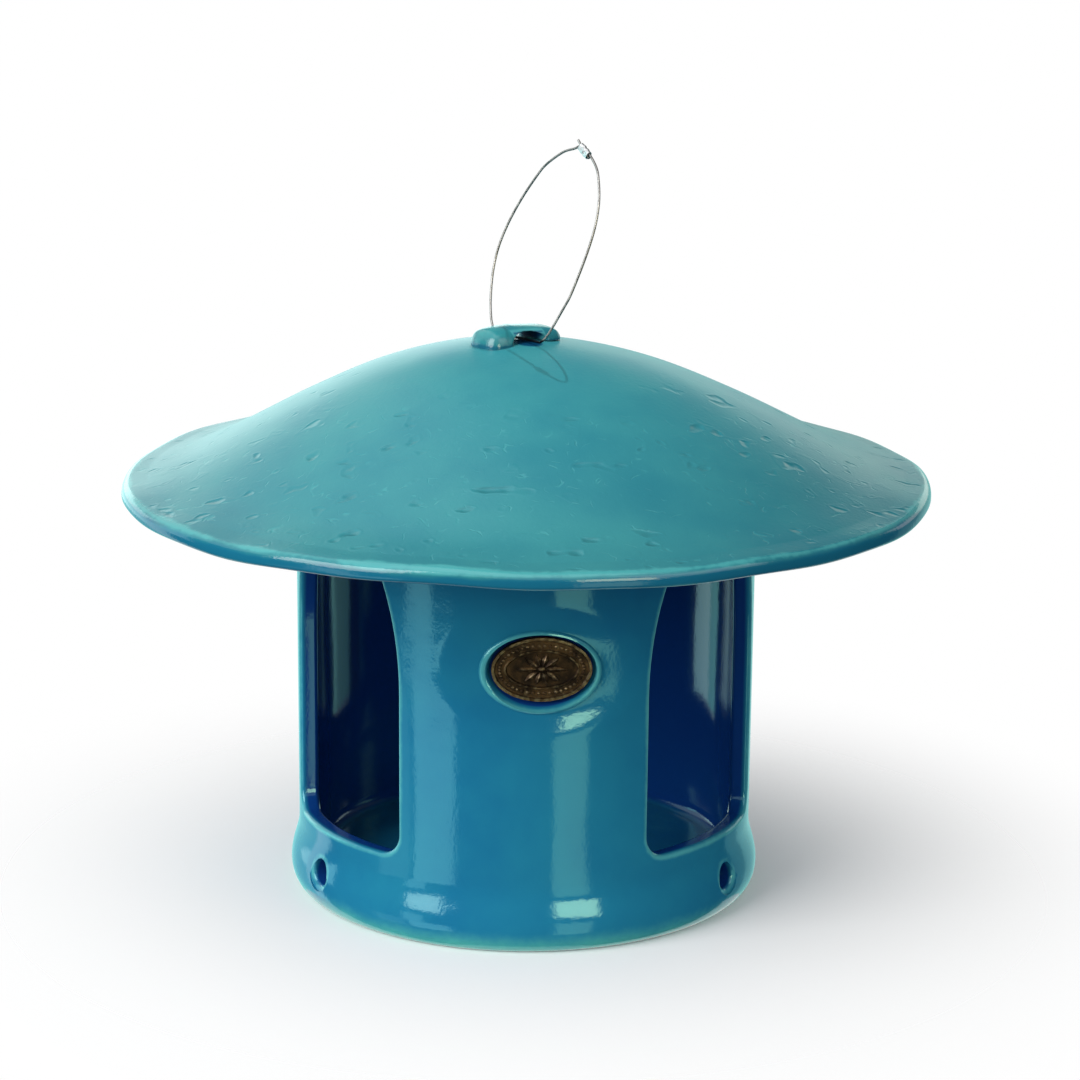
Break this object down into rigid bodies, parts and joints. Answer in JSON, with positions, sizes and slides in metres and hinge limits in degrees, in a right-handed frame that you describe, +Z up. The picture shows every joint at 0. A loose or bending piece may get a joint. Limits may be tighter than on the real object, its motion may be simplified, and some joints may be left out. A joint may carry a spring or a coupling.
{
  "type": "hanging bird feeder",
  "caption": "Round glazed stoneware feeder drum with arched windows and drain holes under a wide domed roof, hung by a sprung wire loop.",
  "frame": {"origin": "centre of the foot, in the plane that the feeder stands on", "axes": "+Z up along the axis of the drum and roof; -Y is the front, the side with the badge"},
  "size_m": [0.26, 0.26, 0.2436],
  "materials": {
    "drum_glaze": "glossy deep blue-green glaze over stoneware",
    "roof_glaze": "satin blue-green glaze over stoneware",
    "badge_bronze": "dark antique bronze",
    "badge_adhesive": "cured adhesive",
    "hanger_steel": "dull drawn steel",
    "sleeve_aluminium": "crimped, satin"
  },
  "bodies": {
    "feeder": {"drum": "drum_glaze", "roof": "roof_glaze", "hanging_lug": "roof_glaze", "badge_glue": "badge_adhesive", "badge": "badge_bronze"},
    "hanger": {"hanger_wire": "hanger_steel", "crimp_sleeve": "sleeve_aluminium"}
  },
  "joints": [
    {"name": "wire_swing", "type": "hinge", "parent": "feeder", "child": "hanger", "pos_m": [-0.0038, 0, 0.1807], "axis": [-0.6428, 0.766, 0], "range_deg": [-112, 80]}
  ]
}
